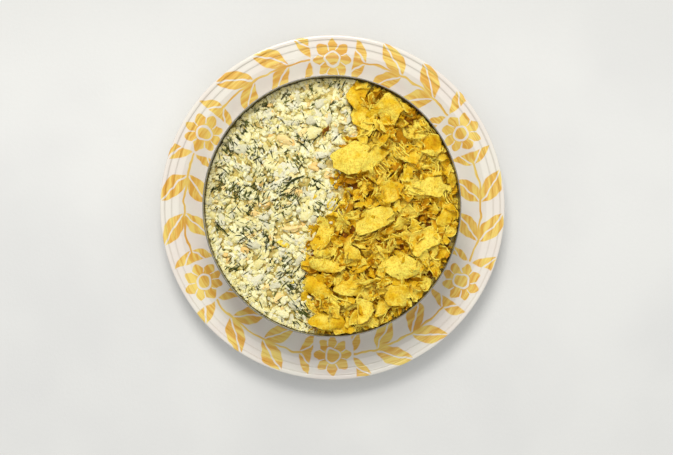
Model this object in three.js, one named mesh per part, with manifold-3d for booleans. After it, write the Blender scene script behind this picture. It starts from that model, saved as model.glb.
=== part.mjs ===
// A layered salad in a steel ring mould, served on a wide dinner plate. Chopped egg with dill covers the
// salad, and crushed potato crisps are heaped over one half of it.
// Millimetres, +Z up. The origin is on the table under the plate's centre, +Y away from the eater.

import * as THREE from "three";
import { mergeVertices } from "three/addons/utils/BufferGeometryUtils.js";
import Module from "manifold-3d";

const wasm = await Module();
wasm.setup();

// The plate. Its rim steps down twice on the way in from the lip.
const plateRadius = 140;
const plateThickness = 4.6;
const plateSides = 52;
const footRadius = 84;
const footWidth = 8;
const footHeight = 3;
const wellRadius = 103;
const wellHeight = 8;
const rimHeight = 24;
const rimSlope = 0.09;
const lipHeight = 3;
const ledges = [
  { inset: 9.0, drop: 0.9 },
  { inset: 3.7, drop: 1.0 },
];

// The ring mould stands on the plate, a little off its centre
const mouldRadius = 100;
const mouldWall = 1.2;
const mouldHeight = 60;
const mouldSides = 60;
const mouldOffset = { x: -0.3, y: 0.1 };
const seatGap = 0.3;

// The thin band is a little out of round: longer away from the eater than across
const mouldStretch = 1.013;

// The salad fills the ring to a little under its edge. Its open half is rough with chopped egg.
const saladRadius = mouldRadius - mouldWall - seatGap;
const saladLevel = 50.5;
const roughTop = { left: -100.5, right: 35, cell: 4.6, relief: 1.6, shift: 1.2, depth: 6, fade: 8 };
const chunkCount = 36;
const chunkSize = { least: 4.5, most: 9.5 };
const chunkSpacing = 12;
const chunkLean = 0.35;

// The longest dill sprigs: x and y of both ends from the ring's centre
const sprigThickness = 1.1;
const sprigLift = { ends: 0.2, middle: 1.9 };
const sprigBow = 0.12;
const dillSprigs = [
  [-37, 16, -14, 14],
  [-34, 9, -22, 19],
  [-62, 34, -50, 39],
  [-47, -33, -37, -28],
  [-29, 51, -20, 44],
  [-44, 69, -37, 61],
  [-40, -66, -33, -58],
  [-81, -6, -74, 2],
];

// The crisps are a heap that rises from a wavy front edge and falls again before the ring's wall
const heapRise = 4.4;
const heapSlope = 17;
const heapEdge = 1.4;
const heapColumns = 7;
const heapRows = 12;
const heapFront = [
  [16, 98],
  [22, 68],
  [2, 34],
  [7, 4],
  [-15, -18],
  [-21, -46],
  [-22, -70],
  [-15, -98],
];
const crispThickness = 1.5;
const crispSink = 1;
const crispClearance = 2.4;
const crispSides = 7;
const crispCount = 46;
const frontCrispCount = 13;
const frontReach = 0.86;
const crispLength = { least: 12, most: 17 };
const crispSpacing = 10.4;
const crispLean = { large: 0.14, small: 0.36 };

// The largest crisps: x and y from the ring's centre, length, width and turn in degrees
const largeCrispSides = 10;
const largeCrisps = [
  [18, 39, 36, 25, 8],
  [26, 69, 21, 17, -35],
  [25, 85, 20, 15, 60],
  [44, 79, 22, 18, -50],
  [58, 40, 24, 18, -12],
  [80, 47, 20, 14, 75],
  [74, 16, 28, 20, 30],
  [34, -13, 31, 20, 12],
  [70, -28, 32, 18, 10],
  [53, -47, 28, 18, -8],
  [16, -34, 20, 18, 45],
  [-4, -46, 30, 11, -5],
  [13, -62, 22, 15, 15],
  [51, -67, 25, 16, -20],
  [23, -79, 22, 17, 75],
  [-12, -62, 20, 16, -40],
  [-8, -24, 16, 15, 20],
  [45, 10, 19, 14, -60],
];

// Small tools

// A seeded generator of numbers from 0 to 1.
function generator(seed) {
  let state = seed;
  return () => {
    state = (state + 0x6d2b79f5) | 0;
    let mixed = Math.imul(state ^ (state >>> 15), 1 | state);
    mixed = (mixed + Math.imul(mixed ^ (mixed >>> 7), 61 | mixed)) ^ mixed;
    return ((mixed ^ (mixed >>> 14)) >>> 0) / 4294967296;
  };
}

const between = (low, high, share) => low + (high - low) * share;

const smoothStep = (share) => {
  const t = Math.min(1, Math.max(0, share));
  return t * t * (3 - 2 * t);
};

// A geometry as a solid, with each of its points moved by shape(point).
function solidFrom(geometry, shape = () => {}) {
  const bare = new THREE.BufferGeometry();
  bare.setAttribute("position", geometry.getAttribute("position"));
  if (geometry.index) bare.setIndex(geometry.index);
  const merged = mergeVertices(bare, 1e-4);
  const positions = merged.getAttribute("position");
  const point = new THREE.Vector3();
  for (let i = 0; i < positions.count; i++) {
    point.fromBufferAttribute(positions, i);
    shape(point);
    positions.setXYZ(i, point.x, point.y, point.z);
  }
  const mesh = new wasm.Mesh({
    numProp: 3,
    vertProperties: positions.array,
    triVerts: new Uint32Array(merged.index.array),
  });
  return new wasm.Manifold(mesh);
}

// The largest body of a solid, without the loose scraps that cutting leaves.
function largestBody(solid) {
  return solid.decompose().reduce((a, b) => (a.volume() > b.volume() ? a : b));
}

function namedMesh(name, geometry, look) {
  const mesh = new THREE.Mesh(geometry, new THREE.MeshStandardMaterial(look));
  mesh.name = name;
  return mesh;
}

function meshFrom(name, solid, look) {
  const { vertProperties, triVerts } = solid.getMesh();
  const geometry = new THREE.BufferGeometry();
  geometry.setAttribute("position", new THREE.BufferAttribute(vertProperties, 3));
  geometry.setIndex(new THREE.BufferAttribute(triVerts, 1));
  geometry.computeVertexNormals();
  return namedMesh(name, geometry, look);
}

// An upright cylinder from z = 0.
function post(radius, height, sides) {
  return new THREE.CylinderGeometry(radius, radius, height, sides)
    .rotateX(Math.PI / 2)
    .translate(0, 0, height / 2);
}

// Places inside the ring where accept(x, y) holds, no two nearer than spacing.
function scatter(random, count, spacing, accept) {
  const places = [];
  for (let tries = 0; places.length < count && tries < count * 400; tries++) {
    const x = between(-saladRadius, saladRadius, random());
    const y = between(-saladRadius, saladRadius, random());
    const near = places.some((p) => Math.hypot(p.x - x, p.y - y) < spacing);
    if (!near && accept(x, y)) places.push({ x, y });
  }
  return places;
}

// The plate: a turned profile, from the middle of the well out over the rim and back in under it

function plateProfile() {
  const at = (radius, height) => new THREE.Vector2(radius, height);
  const drop = ledges.reduce((sum, ledge) => sum + ledge.drop, 0);
  const ledgeStart = plateRadius - ledges[0].inset - 1;
  const slopeTop = rimHeight - drop - rimSlope * ledges[0].inset - 0.3;
  const slope = new THREE.SplineCurve([
    at(wellRadius, wellHeight),
    at(wellRadius + 7, wellHeight + 2.6),
    at(wellRadius + 15, wellHeight + 8.4),
    at(ledgeStart, slopeTop),
  ]).getPoints(5);
  const steps = [];
  let height = rimHeight - drop;
  for (const ledge of ledges) {
    const edge = plateRadius - ledge.inset;
    steps.push(at(edge - 0.5, height - rimSlope * ledge.inset));
    height += ledge.drop;
    steps.push(at(edge + 0.3, height - rimSlope * ledge.inset));
  }
  const lip = [at(plateRadius - 1.2, rimHeight), at(plateRadius, rimHeight - lipHeight / 2)];
  const underside = new THREE.SplineCurve([
    at(plateRadius - 0.8, rimHeight - lipHeight),
    at(wellRadius + 19, wellHeight + 9 - plateThickness),
    at(wellRadius + 6, wellHeight + 0.7 - plateThickness),
    at(footRadius + 3, footHeight),
  ]).getPoints(5);
  const foot = [
    at(footRadius, 0),
    at(footRadius - footWidth, 0),
    at(footRadius - footWidth - 2, footHeight),
  ];
  return [at(0, wellHeight), ...slope, ...steps, ...lip, ...underside, ...foot, at(0, footHeight)];
}

function makePlate() {
  const turned = new THREE.LatheGeometry(plateProfile().reverse(), plateSides).rotateX(Math.PI / 2);
  return namedMesh("dinner_plate", turned, { color: 0xf0e8d8, roughness: 0.18, metalness: 0 });
}

// The ring mould: a plain steel band with a softened upper edge

function makeRingMould() {
  const innerRadius = mouldRadius - mouldWall;
  const chamfer = mouldWall / 4;
  const profile = [
    [innerRadius, 0],
    [mouldRadius, 0],
    [mouldRadius, mouldHeight - chamfer],
    [mouldRadius - chamfer, mouldHeight],
    [innerRadius + chamfer, mouldHeight],
    [innerRadius, mouldHeight - chamfer],
    [innerRadius, 0],
  ].map(([radius, height]) => new THREE.Vector2(radius, height));
  const band = new THREE.LatheGeometry(profile, mouldSides).rotateX(Math.PI / 2);
  return namedMesh("ring_mould", band, { color: 0xb8b4aa, roughness: 0.3, metalness: 1 });
}

// The crisps' front edge: how far right of the ring's centre the heap begins at y.

const frontCurve = new THREE.SplineCurve(heapFront.map(([x, y]) => new THREE.Vector2(x, y)));
const frontPoints = frontCurve.getPoints(80);

function frontAt(y) {
  const next = frontPoints.findIndex((p) => p.y < y);
  if (next < 1) return frontPoints[next === 0 ? 0 : frontPoints.length - 1].x;
  const before = frontPoints[next - 1];
  const after = frontPoints[next];
  return between(before.x, after.x, (before.y - y) / (before.y - after.y));
}

// The salad: a pressed cylinder whose open half is rough with chopped egg, larger chunks and dill

// A grid over the open half, with a raised point for each chopped bit. Its last column spans the flat half.
function makeRoughTop() {
  const { left, right, cell, relief, shift, depth, fade } = roughTop;
  const random = generator(11);
  const columns = Math.round((right - left) / cell);
  const rows = Math.round((2 * saladRadius + 3) / cell);
  const block = new THREE.BoxGeometry(columns, rows, 2, columns, rows);
  return solidFrom(block, (p) => {
    const column = Math.round(p.x + columns / 2);
    const row = Math.round(p.y + rows / 2);
    const raised = column % 2 === 0 && row % 2 === 0;
    p.x = column === columns ? mouldRadius : left + column * cell;
    p.y *= cell;
    if (p.z < 0) {
      p.z = saladLevel - depth;
      return;
    }
    p.z = saladLevel;
    if (column >= columns - 1) return;
    const open = 1 - smoothStep((p.x - frontAt(p.y)) / fade + 0.5);
    const lift = raised ? between(0.1, 1, random()) : between(-0.8, 0, random());
    p.x += between(-shift, shift, random());
    p.y += between(-shift, shift, random());
    p.z += open * relief * lift;
  });
}

// A chopped piece of egg: a tilted box with uneven corners, half sunk in the surface.
function eggChunk(random, { x, y }) {
  const size = between(chunkSize.least, chunkSize.most, random() ** 2);
  const flatness = between(0.45, 0.7, random());
  const corners = new THREE.BoxGeometry(size, size * between(0.6, 0.95, random()), size * flatness);
  const lean = () => between(-chunkLean, chunkLean, random());
  const turn = new THREE.Euler(lean(), lean(), random() * 6.3);
  return solidFrom(corners, (p) => {
    const uneven = () => between(0.78, 1.12, random());
    p.set(p.x * uneven(), p.y * uneven(), p.z * uneven());
    p.applyEuler(turn);
    p.add(new THREE.Vector3(x, y, saladLevel + size * flatness * 0.1));
  });
}

// A dill sprig: a thin strand that arches over the egg from end to end.
function dillSprig([startX, startY, endX, endY]) {
  const start = new THREE.Vector3(startX, startY, saladLevel + sprigLift.ends);
  const end = new THREE.Vector3(endX, endY, saladLevel + sprigLift.ends);
  const side = new THREE.Vector3(startY - endY, endX - startX, 0).multiplyScalar(sprigBow);
  const middle = start.clone().lerp(end, 0.5).add(side);
  middle.z = saladLevel + sprigLift.middle;
  const path = new THREE.QuadraticBezierCurve3(start, middle, end);
  const half = sprigThickness / 2;
  const section = new THREE.Shape([
    new THREE.Vector2(-half, -half),
    new THREE.Vector2(half, -half),
    new THREE.Vector2(half, half),
    new THREE.Vector2(-half, half),
  ]);
  return solidFrom(new THREE.ExtrudeGeometry(section, { extrudePath: path, steps: 3, bevelEnabled: false }));
}

function makeSalad() {
  const well = solidFrom(post(saladRadius, mouldHeight, mouldSides));
  const body = solidFrom(post(saladRadius, saladLevel - roughTop.depth / 2, mouldSides));
  const random = generator(7);
  const inside = (x, y) => Math.hypot(x, y) < saladRadius - 6.5 && x < frontAt(y) - 10;
  const chunks = scatter(random, chunkCount, chunkSpacing, inside).map((place) => eggChunk(random, place));
  const sprigs = dillSprigs.map(dillSprig);
  const toppings = [...chunks, ...sprigs].reduce((joined, piece) => joined.add(piece));
  return largestBody(makeRoughTop().intersect(well).add(body).add(toppings));
}

// The crisps: thin curled flakes fused to a low mound

function heapHeight(x, y) {
  const fromFront = (x - frontAt(y)) / heapSlope;
  const toWall = 0.3 + (saladRadius - Math.hypot(x, y)) / heapSlope;
  return saladLevel + heapEdge + heapRise * smoothStep(Math.min(fromFront, toWall));
}

function makeMound() {
  const block = new THREE.BoxGeometry(2, 2, 2, heapColumns, heapRows);
  return solidFrom(block, (p) => {
    const y = p.y * (saladRadius - 5);
    const wall = Math.sqrt((saladRadius - 1) ** 2 - y * y);
    const x = between(frontAt(y) + 1, wall, (p.x + 1) / 2);
    p.set(x, y, p.z > 0 ? heapHeight(x, y) : saladLevel + 2 * seatGap);
  });
}

// How low a crisp can lie: a little into the mound, or just over the egg in front of it.
function crispFloor(x, y) {
  const overMound = x > frontAt(y) + 1;
  const inMound = Math.max(saladLevel + 3 * seatGap, heapHeight(x, y) - crispSink);
  return overMound ? inMound : saladLevel + crispClearance;
}

// A crisp: a thin disc with an uneven outline, cupped across, drooping along, and tilted. It is let down
// until it rests in the mound.
function crispFlake(random, { x, y, length, width, turn, lean, sides }) {
  const flake = new THREE.CylinderGeometry(0.5, 0.5, crispThickness, sides).rotateX(Math.PI / 2);
  const cup = between(0.04, 0.14, random()) * width;
  const droop = between(-0.1, 0.08, random()) * length;
  const tilt = new THREE.Euler(between(-lean, lean, random()), between(-lean, lean, random()), turn, "ZYX");
  const edges = Array.from({ length: sides }, () => between(0.8, 1.12, random()));
  const place = new THREE.Vector3(x, y, 0);
  let drop = Infinity;
  const shaped = solidFrom(flake, (p) => {
    const corner = Math.round((Math.atan2(p.y, p.x) / (2 * Math.PI)) * sides + sides) % sides;
    const reach = Math.hypot(p.x, p.y) > 0.1 ? edges[corner] : 1;
    const bend = 4 * (cup * p.y * p.y + droop * p.x * p.x);
    p.set(p.x * length * reach, p.y * width * reach, p.z + bend).applyEuler(tilt).add(place);
    drop = Math.min(drop, p.z - crispFloor(p.x, p.y));
  });
  return shaped.translate(0, 0, -drop);
}

// Draws a flake in towards the middle until the whole of it is inside the ring.
function insideRing(flake) {
  const reach = saladRadius - 0.6 * flake.length;
  const away = Math.hypot(flake.x, flake.y);
  const share = away > reach ? reach / away : 1;
  return { ...flake, x: flake.x * share, y: flake.y * share };
}

function makeCrispHeap(salad) {
  const random = generator(23);
  const large = largeCrisps.map(([x, y, length, width, degrees]) => {
    const turn = THREE.MathUtils.degToRad(degrees);
    return { x, y, length, width, turn, lean: crispLean.large, sides: largeCrispSides };
  });
  const onHeap = (x, y) =>
    Math.hypot(x, y) < saladRadius - 7
    && x > frontAt(y) + 11
    && !large.some((big) => Math.hypot(big.x - x, big.y - y) < 0.36 * big.length);
  const alongFront = Array.from({ length: frontCrispCount }, (_, i) => {
    const y = between(-frontReach, frontReach, i / (frontCrispCount - 1)) * saladRadius;
    return { x: frontAt(y) + between(2, 6, random()), y };
  });
  const onTop = scatter(random, crispCount, crispSpacing, onHeap);
  const small = [...alongFront, ...onTop].map(({ x, y }) => {
    const length = between(crispLength.least, crispLength.most, random());
    const width = length * between(0.6, 0.9, random());
    return { x, y, length, width, turn: random() * 6.3, lean: crispLean.small, sides: crispSides };
  });
  const flakes = [...large, ...small].map((flake) => crispFlake(random, insideRing(flake)));
  const heap = flakes.reduce((joined, flake) => joined.add(flake), makeMound());
  return largestBody(heap.subtract(salad.translate(0, 0, seatGap)));
}

const salad = makeSalad();
const mouldGroup = new THREE.Group();
mouldGroup.position.set(mouldOffset.x, mouldOffset.y, wellHeight + seatGap);
mouldGroup.scale.set(1, mouldStretch, 1);
mouldGroup.add(
  makeRingMould(),
  meshFrom("egg_and_dill_salad", salad, { color: 0xefe6b8, roughness: 0.7 }),
  meshFrom("crushed_crisps", makeCrispHeap(salad), { color: 0xe8be3a, roughness: 0.6 }),
);

const saladOnPlate = new THREE.Group();
saladOnPlate.add(makePlate(), mouldGroup);

export default saladOnPlate;
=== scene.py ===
"""A layered salad in a steel ring mould on a glazed dinner plate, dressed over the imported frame.

Half of the salad's top is chopped egg with dill, the other half is a heap of crushed potato crisps.
"""

import random
from contextlib import contextmanager
from math import atan2, cos, hypot, pi, radians, sin, sqrt

import bpy
import numpy as np
from mathutils import Euler, Matrix, Vector


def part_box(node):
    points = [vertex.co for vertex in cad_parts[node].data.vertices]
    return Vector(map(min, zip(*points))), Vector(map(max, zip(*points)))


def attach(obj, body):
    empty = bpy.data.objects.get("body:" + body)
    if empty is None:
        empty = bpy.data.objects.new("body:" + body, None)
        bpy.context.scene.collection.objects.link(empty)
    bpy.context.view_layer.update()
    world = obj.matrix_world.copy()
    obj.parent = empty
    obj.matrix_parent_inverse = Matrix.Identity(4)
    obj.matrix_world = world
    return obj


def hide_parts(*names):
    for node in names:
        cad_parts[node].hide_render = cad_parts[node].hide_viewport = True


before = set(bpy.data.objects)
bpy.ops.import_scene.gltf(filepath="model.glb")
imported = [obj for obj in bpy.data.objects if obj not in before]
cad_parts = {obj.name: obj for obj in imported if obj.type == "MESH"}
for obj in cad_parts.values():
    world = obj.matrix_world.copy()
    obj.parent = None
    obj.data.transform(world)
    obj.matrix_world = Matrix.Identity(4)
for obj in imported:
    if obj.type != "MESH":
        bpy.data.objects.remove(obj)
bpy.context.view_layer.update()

# Sizes and places, from the frame where it has them. Lengths are in metres, but in the tables in millimetres, with x
# and y from the ring's middle and headings in degrees.

MM = 0.001
plate_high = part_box("dinner_plate")[1]
ring_low, ring_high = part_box("ring_mould")

PLATE_RADIUS = plate_high.x
PLATE_TOP = plate_high.z
WELL_RADIUS = 103 * MM
WELL_TOP = ring_low.z - 0.3 * MM
FOOT_RADIUS = 84 * MM

RING_X = (ring_low.x + ring_high.x) / 2
RING_Y = (ring_low.y + ring_high.y) / 2
RING_RADIUS = (ring_high.x - ring_low.x) / 2
# The ring is a little longer away from the eater than across, and so is all that lies in it
RING_STRETCH = (ring_high.y - ring_low.y) / (ring_high.x - ring_low.x)
RING_WALL = 0.85 * MM
RING_TOP = ring_high.z

SALAD_RADIUS = RING_RADIUS - RING_WALL - 0.1 * MM
SALAD_TOP = WELL_TOP + 50.4 * MM
CRISP_THICKNESS = 1.1 * MM
# Where the random draws for each kind of loose food start
EGG_SEED, DILL_SEED, CRISP_SEED = 5, 8, 12

# The crisps' front edge over the egg, from the far side to the near: x and y
CRISP_FRONT = [
    (14, 99), (14, 94), (17, 81), (23, 72), (22, 62), (11, 52), (4, 40), (-1, 30), (2, 21), (8, 14), (7, 3), (7, -8),
    (-3, -13), (-15, -17), (-18, -26), (-20, -33), (-22, -46), (-21, -60), (-23, -71), (-14, -82), (-16, -93),
    (-18, -99),
]

# Small tools


def between(low, high, share):
    return low + (high - low) * share


def only(piece):
    """Selects one piece and nothing else, and makes it active."""
    bpy.ops.object.select_all(action="DESELECT")
    piece.select_set(True)
    bpy.context.view_layer.objects.active = piece


def new_piece(name, scale=(1, 1, 1)):
    """Names the primitive that was just added, sizes it, and applies its place, turn and size."""
    piece = bpy.context.object
    piece.name = piece.data.name = name
    piece.scale = scale
    only(piece)
    bpy.ops.object.transform_apply(location=True, rotation=True, scale=True)
    return piece


@contextmanager
def editing(everything=True):
    """Edit mode for the active piece, with everything selected at first, or what was selected before."""
    bpy.ops.object.mode_set(mode="EDIT")
    if everything:
        bpy.ops.mesh.select_all(action="SELECT")
    yield
    bpy.ops.object.mode_set(mode="OBJECT")


def select_borders(kind):
    """In edit mode, selects the open edges only."""
    bpy.ops.mesh.select_mode(type=kind)
    bpy.ops.mesh.select_all(action="DESELECT")
    bpy.ops.mesh.select_non_manifold()


def cut_along(place, outwards, **settings):
    """In edit mode, cuts everything along a plane. With clear_outer, what lies beyond it goes."""
    bpy.ops.mesh.select_all(action="SELECT")
    bpy.ops.mesh.bisect(plane_co=place, plane_no=outwards, **settings)


def set_all(thing, **values):
    for key, value in values.items():
        setattr(thing, key, value)


def in_scene(name, data):
    """A new object in the scene, for a mesh, a lamp or a camera."""
    made = bpy.data.objects.new(name, data)
    bpy.context.scene.collection.objects.link(made)
    return made


def coat(mesh, material):
    mesh.shade_smooth()
    mesh.materials.append(material)


def stand_at(piece, x):
    """Stands a piece at x. The textures are fixed in the room, so each place gives other bumps."""
    piece.location = (x, 0, 0)
    bpy.context.view_layer.update()


def finish_with(piece, kind, **settings):
    """Adds one modifier and applies it."""
    only(piece)
    modifier = piece.modifiers.new(kind, kind)
    set_all(modifier, **settings)
    bpy.ops.object.modifier_apply(modifier=modifier.name)


def roughen(piece, name, scale, strength, direction, by="GLOBAL", **settings):
    """Moves the points by a cloudy texture."""
    texture = bpy.data.textures.new(name, "CLOUDS")
    texture.cloud_type = "COLOR" if direction == "RGB_TO_XYZ" else "GRAYSCALE"
    texture.noise_scale = scale
    finish_with(
        piece, "DISPLACE", texture=texture, texture_coords=by, direction=direction, strength=strength, mid_level=0.5,
        **settings)


def outward(piece):
    """Closes doubled points and points every face outwards."""
    only(piece)
    with editing():
        bpy.ops.mesh.remove_doubles(threshold=1e-6)
        bpy.ops.mesh.normals_make_consistent(inside=False)


def front_at(y):
    """How far right of the ring's middle the crisps begin, at y. Both are in metres."""
    xs, ys = zip(*CRISP_FRONT[::-1])
    return np.interp(np.asarray(y) / MM, ys, xs) * MM


def smooth_share(value):
    value = np.clip(value, 0, 1)
    return value * value * (3 - 2 * value)


def dip(x, y):
    """How much lower the salad lies against the far part of the wall. All are in metres."""
    depth, reach = 2.4 * MM, 13 * MM
    by_wall = smooth_share(1 - (SALAD_RADIUS - np.hypot(x, y)) / reach)
    return depth * by_wall * smooth_share((np.asarray(y) / SALAD_RADIUS + 0.3) / 0.8)


# Materials. A place in them is in millimetres. A node finds its tree from the outputs that it is given.


def add(kind, inputs=None, tree=None, **settings):
    """One shader node. An input is a constant, or another node's output."""
    inputs = inputs or {}
    tree = tree or next(value.id_data for value in inputs.values() if isinstance(value, bpy.types.NodeSocket))
    node = tree.nodes.new("ShaderNode" + kind)
    set_all(node, **settings)
    for key, value in inputs.items():
        if isinstance(value, bpy.types.NodeSocket):
            tree.links.new(value, node.inputs[key])
        else:
            node.inputs[key].default_value = value
    return node


def maths(operation, first, second=0, third=0, clamp=False):
    node = add("Math", {0: first, 1: second, 2: third}, operation=operation, use_clamp=clamp)
    return node.outputs[0]


def times(first, second, plus=0):
    return maths("MULTIPLY_ADD", first, second, plus)


def minus(first, second):
    return maths("SUBTRACT", first, second)


def larger(first, second):
    return maths("MAXIMUM", first, second)


def unsigned(value):
    return maths("ABSOLUTE", value)


def span(x, y):
    """The distance over two sides at right angles."""
    return maths("SQRT", times(x, x, times(y, y)))


def ramp(value, low, high, to_low=0, to_high=1):
    """Maps low..high smoothly to to_low..to_high."""
    ends = {"Value": value, "From Min": low, "From Max": high, "To Min": to_low, "To Max": to_high}
    return add("MapRange", ends, interpolation_type="SMOOTHSTEP").outputs["Result"]


# Where a Mix node set to colours takes its two colours and gives the result
FIRST_COLOUR, SECOND_COLOUR, MIXED_COLOUR = 6, 7, 2


def mix(share, first, second):
    return add("Mix", {0: share, FIRST_COLOUR: first, SECOND_COLOUR: second}, data_type="RGBA").outputs[MIXED_COLOUR]


def noise(place, scale, detail=2, roughness=0.5, distortion=0):
    look = {"Vector": place, "Scale": scale, "Detail": detail, "Roughness": roughness, "Distortion": distortion}
    return add("TexNoise", look).outputs["Fac"]


def blotched(share, spots, strength, shift=0):
    """A share made uneven by some noise."""
    return maths("ADD", share, times(spots, strength, shift - strength / 2), clamp=True)


def axes(place):
    """The place's x, y and z."""
    return add("SeparateXYZ", {"Vector": place}).outputs[:]


def flat(x, y):
    return add("CombineXYZ", {"X": x, "Y": y, "Z": 0}).outputs["Vector"]


def rgb(red, green, blue):
    """A colour given as it looks on screen, from 0 to 255."""
    def linear(c):
        c /= 255
        return c / 12.92 if c <= 0.04045 else ((c + 0.055) / 1.055) ** 2.4
    return (linear(red), linear(green), linear(blue), 1)


def new_material(name, roughness, **constants):
    """A material with constants on its shader, and the place on the object in millimetres."""
    material = bpy.data.materials.new(name)
    material.use_nodes = True
    tree = material.node_tree
    for key, value in (("Roughness", roughness), *constants.items()):
        tree.nodes["Principled BSDF"].inputs[key.replace("_", " ")].default_value = value
    place = add("TexCoord", tree=tree).outputs["Object"]
    return material, add("VectorMath", {0: place, "Scale": 1 / MM}, operation="SCALE").outputs["Vector"]


def join(value, key, shader="Principled BSDF"):
    """Leads a value to an input of the shader."""
    tree = value.id_data
    tree.links.new(value, tree.nodes[shader].inputs[key])


def dress(material, tone, height=None, strength=0, distance_mm=0):
    """Gives the material its colour, and bumps where there is a height."""
    join(tone, "Base Color")
    if height:
        relief = add("Bump", {"Height": height, "Strength": strength, "Distance": distance_mm * MM})
        join(relief.outputs["Normal"], "Normal")
    return material


def attribute(material, name):
    return add("Attribute", tree=material.node_tree, attribute_name=name).outputs["Fac"]


def stoneware_floor():
    material, place = new_material("pale_plaster", 0.9)
    tone = mix(ramp(noise(place, 0.006, 3), 0.3, 0.7), rgb(221, 221, 219), rgb(229, 229, 226))
    # Painted shade: the floor is darker towards the far side
    far = ramp(axes(place)[1], 40, 260, 0, 0.8)
    return dress(material, mix(far, tone, rgb(211, 211, 208)), noise(place, 0.35, 4, 0.65), 0.25, 0.6)


LEAF_PAIRS = 24
ROSETTES = 6
BORDER_LENGTH = 2 * pi * 121
WAVER = 5


def plate_glaze():
    """Cream glaze with a border of plain leaves and rosettes in yellow brush strokes."""
    material, place = new_material("painted_cream_glaze", 0.16, Coat_Weight=0.3, Coat_Roughness=0.08)
    waver = add("TexNoise", {"Vector": place, "Scale": 0.09, "Detail": 1}).outputs["Color"]
    centred = add("VectorMath", {0: waver, 1: (0.5, 0.5, 0.5)}, operation="SUBTRACT").outputs["Vector"]
    by_hand = add("VectorMath", {0: centred, 1: (WAVER, WAVER, 0), 2: place}, operation="MULTIPLY_ADD")
    x, y, z = axes(by_hand.outputs["Vector"])
    radius = span(x, y)
    turn = maths("DIVIDE", maths("ARCTAN2", y, x), 2 * pi)
    across = minus(radius, BORDER_LENGTH / (2 * pi))

    # Rosettes: a lobed disc with a pale ring round a dark eye, and a pale line down each petal
    along = times(minus(maths("FRACT", times(turn, ROSETTES)), 0.5), BORDER_LENGTH / ROSETTES)
    from_eye = span(along, across)
    petals = maths("COSINE", times(maths("ARCTAN2", across, along), 8))
    disc = ramp(minus(times(petals, 1.8, 14), from_eye), -0.2, 0.7)
    ring = ramp(unsigned(minus(from_eye, 5.6)), 0.5, 1.1)
    slits = larger(ramp(petals, -0.985, -0.9), ramp(from_eye, 7.6, 7))
    rosette = times(times(disc, ring), slits)

    # Leaves: pointed ovals in pairs along a stem, with a pale vein, left out round each rosette
    pair = minus(maths("FRACT", times(turn, LEAF_PAIRS)), 0.5)
    spacing = BORDER_LENGTH / LEAF_PAIRS
    lean = radians(38)
    leaves = ramp(unsigned(across), 1.1, 0.5)
    for step in (-1, 0, 1):
        run = times(pair, spacing, step * spacing)
        side = minus(unsigned(across), 9.2)
        reach = maths("DIVIDE", times(run, cos(lean), times(side, sin(lean))), 15)
        off_vein = unsigned(minus(times(side, cos(lean)), times(run, sin(lean))))
        room = times(minus(1, times(reach, reach)), 7.4)
        blade = ramp(minus(room, off_vein), -0.2, 0.7)
        leaves = larger(leaves, times(blade, ramp(off_vein, 0.3, 0.9)))
    leaves = times(leaves, ramp(unsigned(along), 17, 18))
    # The back stays plain: the border ends at a slope half way through the rim
    half_way = larger(times(radius, 0.517, -49.4), WELL_TOP / MM - 1.5)
    on_rim = times(ramp(radius, 102, 103), ramp(minus(z, half_way), 0, 0.4))
    painted = times(larger(leaves, rosette), on_rim)

    # The brush leaves bands that run round the plate, thin here and pooled there
    streak = noise(flat(times(turn, 18), times(radius, 0.34)), 1, 3, 0.6)
    depth = blotched(ramp(streak, 0.36, 0.64), noise(place, 0.07), 1.4)
    paint = mix(depth, rgb(242, 212, 98), rgb(222, 160, 18))
    glaze = mix(ramp(noise(place, 0.035), 0.35, 0.65), rgb(234, 229, 217), rgb(232, 223, 213))
    bands = noise(flat(times(radius, 0.5), 0), 1)
    return dress(material, mix(times(painted, 0.94), glaze, paint), bands, 0.1, 0.5)


def brushed_band():
    """Steel brushed round the band, a little smudged."""
    material, place = new_material("brushed_steel_band", 0.3, Metallic=1)
    x, y, z = axes(place)
    grain = noise(flat(times(maths("ARCTAN2", y, x), 3), times(z, 9)), 1, 4, 0.7)
    tone = mix(ramp(grain, 0.3, 0.7), rgb(198, 195, 188), rgb(228, 225, 219))
    # The cut edge at the top is darker than the rolled face
    cut_edge = ramp(z, RING_TOP / MM - 0.5, RING_TOP / MM - 0.1)
    smudge = ramp(noise(place, 0.03, 1), 0.3, 0.7, 0.2, 0.28)
    join(times(grain, 0.1, smudge), "Roughness")
    return dress(material, mix(cut_edge, tone, rgb(158, 155, 148)), grain, 0.12, 0.15)


def far_wall_shade_share(place, reach=14):
    """A share that rises to 1 at the far left part of the ring's wall, for the painted shade there."""
    x, y, _ = axes(place)
    x = minus(x, RING_X / MM)
    y = times(minus(y, RING_Y / MM), 1 / RING_STRETCH)
    near = ramp(span(x, y), SALAD_RADIUS / MM - reach, SALAD_RADIUS / MM)
    return times(near, ramp(times(x, -0.5, y), 0, 70))


def egg_finish(name, dull, bright):
    """Chopped egg: each bit has its own tint, with soft mottling and small pits, and painted shade by the far wall."""
    material, place = new_material(
        name, 0.5, Subsurface_Weight=0.06, Subsurface_Scale=0.002, Subsurface_Radius=(1, 0.7, 0.4),
        Specular_IOR_Level=0.2)
    share = blotched(attribute(material, "tint"), noise(place, 0.45, 3, 0.6), 1.6)
    pits = ramp(noise(place, 1.1, 2, 0.6), 0.62, 0.74, 0, 0.5)
    body = mix(pits, mix(share, dull, bright), rgb(152, 134, 48))
    # Painted shade: the egg is darkened by the far part of the wall, where the wall's shadow falls
    body = mix(times(far_wall_shade_share(place), 0.3), body, rgb(146, 118, 44))
    return dress(material, body, noise(place, 0.8, 3, 0.6), 0.8, 0.8)


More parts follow.
